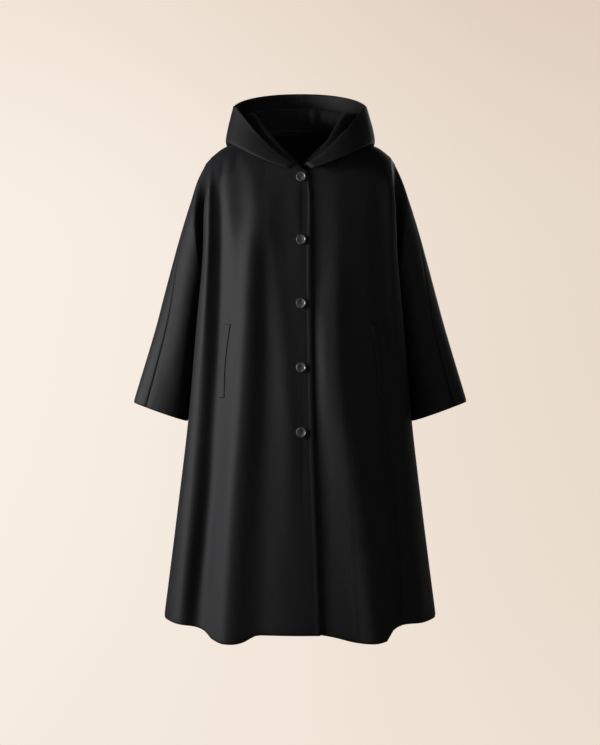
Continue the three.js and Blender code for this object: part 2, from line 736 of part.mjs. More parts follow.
const buttonGeometry = makeButton();
const buttonAxis = new THREE.Vector3(0, 1, 0);
for (let i = 0; i < buttonCount; i += 1) {
  const z = -firstButtonDrop - i * buttonSpacing;
  const { point, normal } = onPanel('front_right', 0, z);
  const geometry = buttonGeometry.clone();
  geometry.applyQuaternion(new THREE.Quaternion().setFromUnitVectors(buttonAxis, normal));
  const seat = point.clone().addScaledVector(normal, buttonLift(point, normal));
  geometry.translate(seat.x, seat.y, seat.z);
  addPiece(`button_${i + 1}`, geometry, hornColour, 0.35);
}

export default cloak;
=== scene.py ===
# Hooded wool cloak, filled out as it hangs. Metres, +Z up, the front faces -Y, the wearer's right is at -X.
import bmesh
import bpy
import math
from mathutils import Matrix, Vector, noise


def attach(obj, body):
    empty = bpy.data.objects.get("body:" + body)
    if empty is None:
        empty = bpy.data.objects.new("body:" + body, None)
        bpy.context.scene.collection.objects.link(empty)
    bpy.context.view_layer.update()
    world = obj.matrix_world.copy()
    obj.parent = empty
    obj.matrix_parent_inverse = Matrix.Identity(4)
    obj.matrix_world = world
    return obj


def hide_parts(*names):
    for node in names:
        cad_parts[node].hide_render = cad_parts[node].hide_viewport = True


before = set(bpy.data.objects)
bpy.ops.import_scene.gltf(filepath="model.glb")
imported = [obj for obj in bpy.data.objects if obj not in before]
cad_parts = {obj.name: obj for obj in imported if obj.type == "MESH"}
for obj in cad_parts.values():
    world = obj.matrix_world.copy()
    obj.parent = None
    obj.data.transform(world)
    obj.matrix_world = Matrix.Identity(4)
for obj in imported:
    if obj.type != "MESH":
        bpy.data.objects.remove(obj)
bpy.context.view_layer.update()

scene = bpy.context.scene


# A table with a name for each column and a row for each section.
def tableOf(columns, *rows):
    return [dict(zip(columns.split(), row)) for row in rows]


# The photograph's frame: 600 x 745, one pixel is 2.33 mm at the middle of the body.
view = {
    "pixel": 0.00233,
    "middleX": 301,        # pixel column of the middle of the body
    "originY": 143,        # pixel row of the base of the neck
    "distance": 2.8,
    "imageWidth": 600,
    "imageHeight": 745,
    "sensor": 36,          # millimetres
    "clipEnd": 60,
}

cloth = {
    "thickness": 0.0024,
    "seamGap": 0.0003,
    "edgeReach": 0.004,    # how far wear reaches in from an edge
    "hemDip": 0.0014,      # the turned hem rounds off at the very edge
    "hemReach": 0.0035,
}
# Slow waviness of the hanging cloth, drawn out in height.
wave = {
    "height": 0.0014, "length": 0.11, "tall": 0.45,
    "small": 0.34, "smallShare": 0.25, "smallTall": 0.6, "apart": 3,
}

body = {
    "neckHalf": 0.085,
    "neckRise": 0.016,
    "shoulderSlope": 0.3,
    "frontNeckDrop": 0.073,
    "backNeckRise": 0.034,
    "frontNeckReach": 1.0,
    "backNeckReach": 0.72,
    "shoulderTopHalf": 0.206,
    "shoulderEdgeHalf": 0.214,
    "shoulderEdgeDrop": 0.038,
    "shoulderRoundStart": 0.150,
    "shoulderRound": 0.096,
    "underarmDrop": 0.340,
    "hemDrop": 1.083,
    "hemDip": 0.021,
    "hemDipFrom": 1.25,
    "hemDipReach": 0.7,
    "hemFoldDip": 0.4,
    "sideHem": -1.089,
    "hemNotch": 0.018,
    "armholeDepth": 0.028,
    "armClearance": 0.009,
    "cornerRadius": 0.015,
    "neckCurve": 2.2,
    "shoulderCurve": 2.4,
    "sleeveTopCurve": 1.4,
    "narrowing": 0.150,    # height over which the shoulder's width turns into the body's
    "sideTurn": 0.8,
    "sideCurve": 1.9,
    "armSpread": 0.020,    # the side fold widens just below the arm
    "armSpreadReach": 0.06,
    "armClearReach": 0.075,
    "calmEnd": 1.5,
    "columns": 88,
    "lapColumns": 16,
    "lapCurve": 1.4,
    "upperRows": 84,
    "lowerRows": 168,
}

# The left front lies under the right one: its step back, how it eases out beside the lap, and a dip there.
under = {
    "step": 0.0030,
    "loose": 0.0006, "looseFrom": 0.5, "looseReach": 0.3,
    "easeFrom": 0.012, "easeReach": 0.046,
    "dip": 0.0008, "dipFrom": 0.014, "dipWidth": 0.020, "dipTop": 0.14, "dipReach": 0.16,
}

# Down the body: the half width of each side, how far the front and back stand out in the middle and at the
# side folds, and how far the lap reaches past the middle.
bodyLevels = tableOf(
    "z right left front back frontFold backFold lap",
    (0.060, 0.206, 0.202, 0.106, 0.092, 0.060, 0.056, 0.006),
    (-0.051, 0.214, 0.210, 0.110, 0.102, 0.072, 0.064, 0.006),
    (-0.133, 0.218, 0.212, 0.120, 0.112, 0.084, 0.074, 0.020),
    (-0.273, 0.221, 0.217, 0.136, 0.121, 0.088, 0.078, 0.021),
    (-0.436, 0.236, 0.232, 0.149, 0.134, 0.082, 0.076, 0.023),
    (-0.645, 0.255, 0.251, 0.167, 0.156, 0.064, 0.062, 0.026),
    (-0.878, 0.284, 0.280, 0.186, 0.180, 0.046, 0.044, 0.034),
    (-1.130, 0.317, 0.313, 0.208, 0.206, 0.038, 0.036, 0.042),
)

# How low the front hem hangs, by the distance from the middle.
hemLine = {
    "right": tableOf(
        "x z",
        (0.000, -1.1040), (0.075, -1.1040), (0.099, -1.1055), (0.119, -1.1165), (0.138, -1.1218),
        (0.158, -1.1226), (0.178, -1.1216), (0.194, -1.1165), (0.210, -1.1050), (0.230, -1.0990),
        (0.256, -1.0945), (0.285, -1.0921), (0.320, -1.0910),
    ),
    "left": tableOf(
        "x z",
        (0.000, -1.1040), (0.037, -1.1028), (0.076, -1.1095), (0.114, -1.1190), (0.150, -1.1217),
        (0.175, -1.1198), (0.187, -1.1150), (0.197, -1.1010), (0.210, -1.0940), (0.240, -1.0910),
        (0.281, -1.0915), (0.320, -1.0910),
    ),
}

# Each fold follows a line of places (height, distance from the middle, rise, width), and a rise below
# nothing is a trough. lean above 1 widens its flank toward the middle and steepens the outer one.
folds = tableOf(
    "face side lean line",
    # right front: the rolled body edge, the trough beside it, the long ridge, its trough and a soft ridge
    ("front", -1, 1.0, [
        (-0.050, 0.204, 0.000, 0.006), (-0.090, 0.206, 0.005, 0.007), (-0.250, 0.209, 0.006, 0.008),
        (-0.440, 0.220, 0.006, 0.012), (-0.620, 0.240, 0.009, 0.026), (-0.815, 0.256, 0.017, 0.034),
        (-1.000, 0.268, 0.019, 0.036), (-1.130, 0.276, 0.017, 0.036)]),
    ("front", -1, 1.0, [
        (-0.055, 0.183, 0.000, 0.012), (-0.110, 0.183, -0.004, 0.012), (-0.180, 0.180, -0.007, 0.014),
        (-0.270, 0.179, -0.012, 0.018), (-0.450, 0.183, -0.015, 0.020), (-0.630, 0.192, -0.017, 0.024),
        (-0.815, 0.203, -0.018, 0.026), (-1.000, 0.222, -0.020, 0.028), (-1.130, 0.232, -0.018, 0.030)]),
    ("front", -1, 1.4, [
        (-0.036, 0.120, 0.000, 0.034), (-0.110, 0.104, 0.006, 0.038), (-0.180, 0.098, 0.010, 0.038),
        (-0.260, 0.109, 0.014, 0.037), (-0.440, 0.121, 0.017, 0.036), (-0.630, 0.133, 0.018, 0.035),
        (-0.815, 0.149, 0.020, 0.036), (-1.000, 0.161, 0.021, 0.035), (-1.130, 0.165, 0.021, 0.034)]),
    ("front", -1, 1.0, [
        (-0.220, 0.084, 0.000, 0.014), (-0.290, 0.082, -0.004, 0.018), (-0.440, 0.082, -0.006, 0.021),
        (-0.630, 0.084, -0.005, 0.024), (-0.815, 0.088, -0.003, 0.028), (-1.130, 0.088, -0.002, 0.032)]),
    ("front", -1, 1.0, [
        (-0.290, 0.048, 0.000, 0.018), (-0.440, 0.038, 0.002, 0.017), (-0.620, 0.028, 0.003, 0.018),
        (-0.780, 0.024, 0.002, 0.020), (-0.960, 0.022, 0.000, 0.022)]),
    ("front", -1, 0.7, [
        (-0.760, 0.176, 0.000, 0.008), (-0.900, 0.186, 0.003, 0.008), (-1.130, 0.198, 0.004, 0.007)]),
    ("front", -1, 1.0, [
        (-0.040, 0.176, 0.000, 0.007), (-0.066, 0.176, -0.003, 0.007), (-0.110, 0.177, 0.000, 0.007)]),
    ("front", -1, 1.0, [
        (-0.030, 0.145, 0.000, 0.008), (-0.056, 0.146, -0.0026, 0.008), (-0.090, 0.148, 0.000, 0.008)]),
    ("front", -1, 1.0, [
        (-0.090, 0.014, 0.000, 0.016), (-0.170, 0.012, 0.0008, 0.016), (-0.250, 0.012, 0.000, 0.016)]),
    # left front: the narrow side roll, the ridge that widens from shoulder to hem, and a sharp crease
    ("front", 1, 1.0, [
        (-0.050, 0.192, 0.000, 0.008), (-0.100, 0.197, 0.002, 0.008), (-0.340, 0.205, 0.003, 0.009),
        (-0.560, 0.222, 0.000, 0.012)]),
    ("front", 1, 1.0, [
        (-0.080, 0.170, 0.000, 0.014), (-0.180, 0.172, -0.004, 0.016), (-0.420, 0.178, -0.006, 0.018),
        (-0.640, 0.196, -0.007, 0.020), (-0.860, 0.214, -0.006, 0.018), (-1.130, 0.228, -0.008, 0.016)]),
    ("front", 1, 1.0, [
        (-0.060, 0.120, 0.000, 0.026), (-0.165, 0.094, 0.001, 0.028), (-0.280, 0.084, 0.004, 0.028),
        (-0.440, 0.078, 0.010, 0.028), (-0.600, 0.090, 0.012, 0.034), (-0.720, 0.116, 0.015, 0.042),
        (-0.860, 0.140, 0.019, 0.046), (-1.000, 0.158, 0.023, 0.046), (-1.130, 0.170, 0.024, 0.042)]),
    ("front", 1, 1.0, [
        (-0.320, 0.046, 0.000, 0.014), (-0.450, 0.048, 0.004, 0.014), (-0.600, 0.054, 0.003, 0.015),
        (-0.720, 0.060, 0.000, 0.016)]),
    ("front", 1, 1.0, [
        (-0.740, 0.174, 0.000, 0.006), (-0.860, 0.178, 0.003, 0.006), (-1.130, 0.190, 0.005, 0.006)]),
    ("front", 1, 1.0, [
        (-0.880, 0.254, 0.000, 0.018), (-1.000, 0.262, 0.006, 0.018), (-1.130, 0.270, 0.008, 0.018)]),
    # right back
    ("back", -1, 1.0, [
        (-0.120, 0.138, 0.000, 0.030), (-0.300, 0.142, 0.013, 0.034), (-0.700, 0.156, 0.018, 0.036),
        (-1.130, 0.178, 0.020, 0.034)]),
    ("back", -1, 1.3, [
        (-0.260, 0.080, 0.000, 0.018), (-0.460, 0.088, -0.012, 0.026), (-0.800, 0.100, -0.015, 0.030),
        (-1.130, 0.110, -0.013, 0.030)]),
    ("back", -1, 1.0, [
        (-0.340, 0.034, 0.000, 0.020), (-0.620, 0.036, 0.009, 0.024), (-1.130, 0.040, 0.010, 0.026)]),
    ("back", -1, 0.8, [
        (-0.080, 0.186, 0.000, 0.010), (-0.180, 0.190, -0.008, 0.012), (-0.460, 0.200, -0.010, 0.015),
        (-0.800, 0.222, -0.009, 0.017), (-1.130, 0.236, -0.008, 0.018)]),
    ("back", -1, 0.8, [
        (-0.760, 0.192, 0.000, 0.007), (-0.920, 0.198, 0.003, 0.007), (-1.130, 0.210, 0.004, 0.008)]),
    # left back
    ("back", 1, 1.0, [
        (-0.160, 0.120, 0.000, 0.030), (-0.340, 0.124, 0.014, 0.036), (-0.640, 0.134, 0.018, 0.038),
        (-1.130, 0.152, 0.022, 0.036)]),
    ("back", 1, 1.2, [
        (-0.300, 0.064, 0.000, 0.016), (-0.520, 0.068, -0.012, 0.024), (-1.130, 0.078, -0.014, 0.028)]),
    ("back", 1, 1.0, [
        (-0.100, 0.176, 0.000, 0.012), (-0.220, 0.182, -0.007, 0.013), (-0.560, 0.196, -0.009, 0.016),
        (-0.860, 0.218, -0.009, 0.018), (-1.130, 0.228, -0.009, 0.018)]),
    ("back", 1, 1.0, [
        (-0.560, 0.182, 0.000, 0.008), (-0.760, 0.186, 0.003, 0.008), (-1.130, 0.202, 0.004, 0.008)]),
    ("back", 1, 1.0, [
        (-0.440, 0.026, 0.000, 0.014), (-0.640, 0.026, 0.005, 0.016), (-0.860, 0.028, 0.000, 0.018)]),
)

# The overarm and underarm lines of the sleeves, which the sides of the body keep clear of.
overarm = {
    "right": tableOf(
        "z out",
        (-0.051, 0.222), (-0.086, 0.239), (-0.133, 0.254), (-0.226, 0.282),
        (-0.352, 0.316), (-0.436, 0.338), (-0.604, 0.389),
    ),
    "left": tableOf(
        "z out",
        (-0.051, 0.218), (-0.086, 0.234), (-0.133, 0.250), (-0.226, 0.278),
        (-0.352, 0.312), (-0.436, 0.335), (-0.602, 0.385),
    ),
}
underarm = {
    "right": {"out": 0.208, "cuffOut": 0.264, "cuffZ": -0.647},
    "left": {"out": 0.202, "cuffOut": 0.257, "cuffZ": -0.647},
}

# Guards against rounding, from the finest to the coarsest.
tiny = 1e-9
nearly = 1e-5
almost = 0.001


def mix(a, b, t):
    return a + (b - a) * t


def clamp(value, low, high):
    return min(high, max(low, value))


def ease(t):
    c = clamp(t, 0, 1)
    return c * c * (3 - 2 * c)


# One in the middle and falling away to nothing on both sides.
def hump(away, width):
    return math.exp(-((away / width) ** 2))


def sideName(side):
    return "right" if side < 0 else "left"


# Reads a column of a table on a smooth curve through its rows.
def readTable(table, key, column, at):
    rows = table if table[-1][key] > table[0][key] else table[::-1]
    last = len(rows) - 2
    i = 0
    while i < last and at > rows[i + 1][key]:
        i += 1

    def slopeAt(n):
        before = rows[max(n - 1, 0)]
        after = rows[min(n + 1, len(rows) - 1)]
        return (after[column] - before[column]) / (after[key] - before[key])

    span = rows[i + 1][key] - rows[i][key]
    t = clamp((at - rows[i][key]) / span, 0, 1)
    startPart = (1 + 2 * t) * (1 - t) ** 2 * rows[i][column]
    endPart = t * t * (3 - 2 * t) * rows[i + 1][column]
    startSlope = t * (1 - t) ** 2 * span * slopeAt(i)
    endSlope = t * t * (t - 1) * span * slopeAt(i + 1)
    return startPart + endPart + startSlope + endSlope


def bodyAt(column, z):
    return readTable(bodyLevels, "z", column, z)


# How far round from the middle to the side fold a place lies, by its distance from the middle.
def shareAt(x, half):
    return math.asin(clamp(x / half, -1, 1)) / (math.pi / 2)


def waviness(point):
    slow = noise.noise(Vector((point.x, point.y, point.z * wave["tall"])) / wave["length"])
    place = Vector((point.x + wave["apart"], point.y, point.z * wave["smallTall"]))
    small = noise.noise(place / (wave["length"] * wave["small"]))
    return wave["height"] * (slow + wave["smallShare"] * small)


def fallAt(reach):
    return 1 - math.sqrt(1 - reach * reach)


def shoulderHeight(face, x):
    if x < body["neckHalf"]:
        inFront = face == "front"
        middle = -body["frontNeckDrop"] if inFront else body["backNeckRise"]
        reach = body["frontNeckReach"] if inFront else body["backNeckReach"]
        guide = middle + body["shoulderRound"] * fallAt(reach)
        return mix(guide, body["neckRise"], (x / body["neckHalf"]) ** body["neckCurve"])
    straight = body["neckRise"] - body["shoulderSlope"] * (x - body["neckHalf"])
    edge = body["neckRise"] - body["shoulderSlope"] * (body["shoulderEdgeHalf"] - body["neckHalf"])
    start = body["shoulderRoundStart"]
    share = (x - start) / (body["shoulderEdgeHalf"] - start)
    return straight - (edge + body["shoulderEdgeDrop"]) * ease(share) ** body["shoulderCurve"]


def neckZ(face, x):
    full = body["frontNeckReach"] if face == "front" else body["backNeckReach"]
    reach = full * math.sqrt(1 - clamp(x / body["neckHalf"], 0, 1) ** 2)
    return shoulderHeight(face, min(x, body["neckHalf"] - tiny)) - body["shoulderRound"] * fallAt(reach)


# Half width and depth of the upright armhole ring at a height.
def armholePoint(side, z):
    top = overarm[sideName(side)][0]
    middle = (top["z"] - body["underarmDrop"]) / 2
    half = (top["z"] + body["underarmDrop"]) / 2
    up = clamp((z - middle) / half, -1, 1)
    out = mix(underarm[sideName(side)]["out"], top["out"], (up + 1) / 2)
    return out, body["armholeDepth"] * math.sqrt(1 - up * up)


# The side of the body keeps inside the sleeve, and opens out again below the cuff.
def pinchedX(side, z, half):
    arm = underarm[sideName(side)]
    below = -body["underarmDrop"] - z
    inner = mix(arm["out"], arm["cuffOut"], clamp(below / (-body["underarmDrop"] - arm["cuffZ"]), 0, 1))
    clearance = body["armClearance"] * clamp(below / body["armClearReach"], 0, 1)
    opened = ease((arm["cuffZ"] - z) / (body["hemDrop"] + arm["cuffZ"]))
    return mix(inner - clearance, half - body["hemNotch"], opened)


# The line of each fold is read once, on a smooth curve, at even steps of height. A fold ends at so many
# times its width.
foldStep = 0.004
foldReach = 3


def foldTable(fold):
    rows = tableOf("z x rise width", *fold["line"])
    count = int((rows[0]["z"] - rows[-1]["z"]) / foldStep) + 2
    table = []
    for i in range(count):
        z = rows[0]["z"] - i * foldStep
        table.append(tuple(readTable(rows, "z", column, z) for column in ("x", "rise", "width")))
    return rows[0]["z"], table, fold["lean"]


foldsOf = {(f, s): [foldTable(fold) for fold in folds if fold["face"] == f and fold["side"] == s]
           for f in ("front", "back") for s in (-1, 1)}


def foldRise(face, side, x, z):
    total = 0
    for top, table, lean in foldsOf[face, side]:
        at = (top - z) / foldStep
        if at <= 0:
            continue
        i = min(int(at), len(table) - 2)
        t = min(at - i, 1)
        near, far = table[i], table[i + 1]
        away = x - mix(near[0], far[0], t)
        width = mix(near[2], far[2], t)
        width *= lean if away < 0 else 1 / lean
        if abs(away) < foldReach * width:
            total += mix(near[1], far[1], t) * hump(away, width)
    return total


neckShare = shareAt(body["neckHalf"], body["shoulderTopHalf"])


# Height and distance from the middle at which a column of a panel starts.
def topOfColumn(face, side, u):
    across = body["shoulderTopHalf"] * math.sin((math.pi / 2) * clamp(u, 0, 1))
    if u <= neckShare + tiny:
        return across, neckZ(face, across)
    end = overarm[sideName(side)][0]
    x = across if u <= 1 else mix(body["shoulderTopHalf"], end["out"], u - 1)
    lower = end["z"] - shoulderHeight(face, end["out"])
    return x, shoulderHeight(face, x) + lower * clamp(u - 1, 0, 1) ** body["sleeveTopCurve"]


def hemZ(face, side, u):
    half = bodyAt(sideName(side), -body["hemDrop"])
    hemX = half * math.sin((math.pi / 2) * clamp(u, 0, 1))
    if face == "front":
        z = readTable(hemLine[sideName(side)], "x", "z", hemX)
    else:
        fold = foldRise(face, side, hemX, -body["hemDrop"])
        dip = body["hemDip"] * ease((body["hemDipFrom"] - u) / body["hemDipReach"])
        z = body["sideHem"] - dip - body["hemFoldDip"] * max(0, fold)
    return mix(z, body["sideHem"], ease(u - 1))


# A place in the middle of the body's cloth: u is 0 at the middle, 1 at the side fold and 2 at the side
# seam, and below nothing it lies on the front lap.
def bodyPlace(face, side, u, z):
    toFront = -1 if face == "front" else 1
    topX, topZ = topOfColumn(face, side, u)
    half = bodyAt(sideName(side), z)
    depth = bodyAt(face, z)
    fold = bodyAt(face + "Fold", z)
    above = z > -body["underarmDrop"] + nearly
    crest = shoulderHeight(face, topX) if u <= 1 else topZ
    rounding = clamp((crest - z) / body["shoulderRound"], 0, 1)
    over = math.sqrt(1 - (1 - rounding) ** 2)
    if u < 0:
        x = bodyAt("lap", z) * u
        y = (fold + (depth - fold) * math.sqrt(1 - (x / half) ** 2)) * over
    elif u <= 1:
        angle = (math.pi / 2) * u
        x = half * math.sin(angle)
        y = (fold + (depth - fold) * math.cos(angle)) * over
    else:
        armX, armDepth = armholePoint(side, z)
        sideX = min(half, armX if above else pinchedX(side, z, half))
        spread = (-body["underarmDrop"] + body["armSpread"] - z) / body["armSpreadReach"]
        belowArm = 0 if above else clamp(spread, 0, 1)
        turn = u - 1
        x = half - (half - sideX) * min(1, body["sideTurn"] * (1 - math.cos(math.pi * turn)))
        y = mix(fold * over, armDepth if above else 0, turn ** mix(1, body["sideCurve"], belowArm))
    if u >= 0 and above:
        x = mix(topX, x, 1 if u > 2 - almost else ease((topZ - z) / body["narrowing"]))
    calm = 1 if u < 0 else clamp((2 - u) * body["calmEnd"], 0, 1)
    y += foldRise(face, -side if u < 0 else side, abs(x), z) * over * calm
    point = Vector((side * x, toFront * y, z))
    point.y += toFront * waviness(point) * over * calm
    if face == "front" and side > 0:
        tuckUnder(point, u)
    return point


# The under front lies behind the upper one up to the middle, and eases out beside the lap.
def tuckUnder(point, u):
    if u <= 0:
        half = bodyAt("right", point.z)
        share = shareAt(-point.x, half)
        looser = under["loose"] * ease((-point.z - under["looseFrom"]) / under["looseReach"])
        point.y = bodyPlace("front", -1, share, point.z).y + under["step"] + looser
        return
    lap = bodyAt("lap", point.z)
    beside = 1 - ease((point.x - lap - under["easeFrom"]) / under["easeReach"])
    dip = under["dip"] * hump(point.x - lap - under["dipFrom"], under["dipWidth"])
    point.y += under["step"] * beside + dip * ease((-point.z - under["dipTop"]) / under["dipReach"])


# The place on a body panel at a distance from the middle and a height, and which way the cloth faces.
def onBody(face, side, x, z):
    half = bodyAt(sideName(side), z)
    share = shareAt(x, half)
    step = 0.004           # of the share across, and in metres down
    point = bodyPlace(face, side, share, z)
    along = bodyPlace(face, side, share + step, z) - point
    down = bodyPlace(face, side, share, z - step) - point
    normal = along.cross(down).normalized()
    if normal.y > 0:
        normal.negate()
    return point, normal


# Turns a bmesh into an object of the scene.
def objectOf(name, bm):
    mesh = bpy.data.meshes.new(name)
    bm.to_mesh(mesh)
    bm.free()
    obj = bpy.data.objects.new(name, mesh)
    scene.collection.objects.link(obj)
    return obj


def evenSteps(start, end, count):
    return [mix(start, end, i / count) for i in range(count + 1)]


# How far each point of a grid lies from the first one of its row, or of its column.
def lengthsAlong(grid, stepI, stepJ):
    lengths = {}
    for i, j in sorted(grid):
        before = (i - stepI, j - stepJ)
        step = (grid[i, j].co - grid[before].co).length if before in grid else 0
        lengths[i, j] = lengths.get(before, 0) + step
    return lengths


# Makes a sheet from a grid whose points are set by placeAt(column value, row value). relief moves a point
# along the way the cloth faces, by its distances from the left, right, top and bottom edges.
def makeSheet(name, columns, rows, placeAt, relief, edges="lrtb", inside=None,
              thickness=cloth["thickness"]):
    bm = bmesh.new()
    edgeLayer = bm.verts.layers.float.new("edge")
    uvLayer = bm.loops.layers.uv.new("cloth")
    nx = len(columns) - 1
    ny = len(rows) - 1
    bmesh.ops.create_grid(bm, x_segments=nx, y_segments=ny, size=1)
    grid = {}
    for vert in bm.verts:
        i = round((vert.co.x + 1) / 2 * nx)
        j = round((1 - vert.co.y) / 2 * ny)
        grid[i, j] = vert
        vert.co = placeAt(columns[i], rows[j])
    across = lengthsAlong(grid, 1, 0)
    down = lengthsAlong(grid, 0, 1)
    bm.normal_update()
    if inside is not None:
        facing = sum((vert.co - inside).dot(vert.normal) for vert in bm.verts)
        if facing < 0:
            bmesh.ops.reverse_faces(bm, faces=bm.faces[:])
            bm.normal_update()
    moves = {}
    for (i, j), vert in grid.items():
        gaps = {
            "l": across[i, j], "r": across[nx, j] - across[i, j],
            "t": down[i, j], "b": down[i, ny] - down[i, j],
        }
        vert[edgeLayer] = math.exp(-min(gaps[e] for e in edges) / cloth["edgeReach"])
        moves[vert] = vert.normal * relief(gaps)
    for vert, move in moves.items():
        vert.co += move
    place = {vert: key for key, vert in grid.items()}
    for face in bm.faces:
        face.smooth = True
        for loop in face.loops:
            key = place[loop.vert]
            loop[uvLayer].uv = (across[key], down[key])
    obj = objectOf(name, bm)
    wall = obj.modifiers.new("wall", "SOLIDIFY")
    wall.thickness = thickness
    wall.offset = 0
    return obj


# Joins the points into a line and turns it full circle about Z.
def spinRound(bm, verts, steps):
    edges = [bm.edges.new(pair) for pair in zip(verts, verts[1:])]
    bmesh.ops.spin(bm, geom=verts + edges, cent=(0, 0, 0), axis=(0, 0, 1), angle=2 * math.pi,
                   steps=steps, use_merge=True)
    bmesh.ops.remove_doubles(bm, verts=bm.verts[:], dist=nearly)


def finishPiece(obj, material, slot, *nodes):
    obj.data.materials.append(material)
    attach(obj, "root")
    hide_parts(*nodes)


print("camera")
camera = bpy.data.objects.new("camera", bpy.data.cameras.new("camera"))
scene.collection.objects.link(camera)
camera.location = (
    (view["imageWidth"] / 2 - view["middleX"]) * view["pixel"],
    -view["distance"],
    (view["originY"] - view["imageHeight"] / 2) * view["pixel"],
)
camera.rotation_euler = (math.radians(90), 0, 0)
camera.data.sensor_width = view["sensor"]
camera.data.lens = view["sensor"] * view["distance"] / (view["imageHeight"] * view["pixel"])
camera.data.clip_end = view["clipEnd"]
scene.camera = camera


print("materials")


def setValues(node, values):
    for socket, value in values.items():
        node.inputs[socket].default_value = value


def addNode(tree, kind, values=None, **settings):
    node = tree.nodes.new(kind)
    for key, value in settings.items():
        setattr(node, key, value)
    setValues(node, values or {})
    return node


def newMaterial(name):
    material = bpy.data.materials.new(name)
    material.use_nodes = True
    tree = material.node_tree
    return material, tree, tree.links.new, tree.nodes["Principled BSDF"]


# Fibres, slow colour changes and stray light hairs of fulled wool, on the cloth's own UV map in metres.
def makeNapGroup():
    group = bpy.data.node_groups.new("woolNap", "ShaderNodeTree")
    group.interface.new_socket("Vector", in_out="INPUT", socket_type="NodeSocketVector")
    for label in ("Fibre Scale", "Twill Scale"):
        group.interface.new_socket(label, in_out="INPUT", socket_type="NodeSocketFloat")
    for label in ("Fibre", "Tone", "Hairs"):
        group.interface.new_socket(label, in_out="OUTPUT", socket_type="NodeSocketFloat")
    inlet = addNode(group, "NodeGroupInput")
    outlet = addNode(group, "NodeGroupOutput")
    link = group.links.new

    stretch = addNode(group, "ShaderNodeMapping", {"Scale": (1.0, 0.32, 1.0), "Rotation": (0, 0, 0.2)})
    link(inlet.outputs["Vector"], stretch.inputs["Vector"])
    fibres = addNode(group, "ShaderNodeTexNoise", {"Detail": 4, "Roughness": 0.62})
    link(stretch.outputs["Vector"], fibres.inputs["Vector"])
    link(inlet.outputs["Fibre Scale"], fibres.inputs["Scale"])

    twill = addNode(group, "ShaderNodeTexWave", {"Distortion": 2.2, "Detail": 2, "Detail Scale": 2.5},
                    wave_type="BANDS", bands_direction="DIAGONAL")
    link(inlet.outputs["Vector"], twill.inputs["Vector"])
    link(inlet.outputs["Twill Scale"], twill.inputs["Scale"])

    blend = addNode(group, "ShaderNodeMath", {1: 0.25}, operation="MULTIPLY_ADD")
    link(twill.outputs["Fac"], blend.inputs[0])
    link(fibres.outputs["Fac"], blend.inputs[2])
    link(blend.outputs["Value"], outlet.inputs["Fibre"])

    cloudy = addNode(group, "ShaderNodeTexNoise", {"Scale": 26, "Detail": 5, "Roughness": 0.6})
    link(inlet.outputs["Vector"], cloudy.inputs["Vector"])
    link(cloudy.outputs["Fac"], outlet.inputs["Tone"])

    hairs = addNode(group, "ShaderNodeTexNoise", {"Scale": 620, "Detail": 2})
    link(stretch.outputs["Vector"], hairs.inputs["Vector"])
    few = addNode(group, "ShaderNodeMapRange", {"From Min": 0.62, "From Max": 0.78})
    link(hairs.outputs["Fac"], few.inputs["Value"])
    link(few.outputs["Result"], outlet.inputs["Hairs"])
    return group


napGroup = makeNapGroup()


def addBlend(tree, values):
    colours = {socket: (*colour, 1) for socket, colour in values.items()}
    return addNode(tree, "ShaderNodeMix", colours, data_type="RGBA")


# Spreads a pattern over a look's range of roughness, and raises it in the bump.
def addGrain(tree, pattern, look):
    shader = tree.nodes["Principled BSDF"]
    low, high = look["rough"]
    rough = addNode(tree, "ShaderNodeMapRange", {"To Min": low, "To Max": high})
    tree.links.new(pattern, rough.inputs["Value"])
    tree.links.new(rough.outputs["Result"], shader.inputs["Roughness"])
    bump = addNode(tree, "ShaderNodeBump", {"Strength": look["bump"], "Distance": look["bumpHeight"]})
    tree.links.new(pattern, bump.inputs["Height"])
    tree.links.new(bump.outputs["Normal"], shader.inputs["Normal"])


def makeCloth(name, look):
    material, tree, link, shader = newMaterial(name)
    uv = addNode(tree, "ShaderNodeUVMap", uv_map="cloth")
    scales = {"Fibre Scale": look["fibreScale"], "Twill Scale": look["twillScale"]}
    nap = addNode(tree, "ShaderNodeGroup", scales, node_tree=napGroup)
    link(uv.outputs["UV"], nap.inputs["Vector"])
    edge = addNode(tree, "ShaderNodeAttribute", attribute_name="edge")

    tone = addBlend(tree, {"A": look["dark"], "B": look["light"]})
    link(nap.outputs["Tone"], tone.inputs["Factor"])
    hairs = addBlend(tree, {"B": look["hair"]})
    link(nap.outputs["Hairs"], hairs.inputs["Factor"])
    link(tone.outputs["Result"], hairs.inputs["A"])
    worn = addBlend(tree, {"B": look["wornEdge"]})
    amount = addNode(tree, "ShaderNodeMath", {1: look["wear"]}, operation="MULTIPLY")
    link(edge.outputs["Fac"], amount.inputs[0])
    link(amount.outputs["Value"], worn.inputs["Factor"])
    link(hairs.outputs["Result"], worn.inputs["A"])
    link(worn.outputs["Result"], shader.inputs["Base Color"])

    addGrain(tree, nap.outputs["Fibre"], look)
    setValues(shader, {
        "Specular IOR Level": look["gloss"],
        "Sheen Weight": look["sheen"],
        "Sheen Roughness": look["sheenRough"],
        "Sheen Tint": (*look["sheenTint"], 1),
    })
    return material


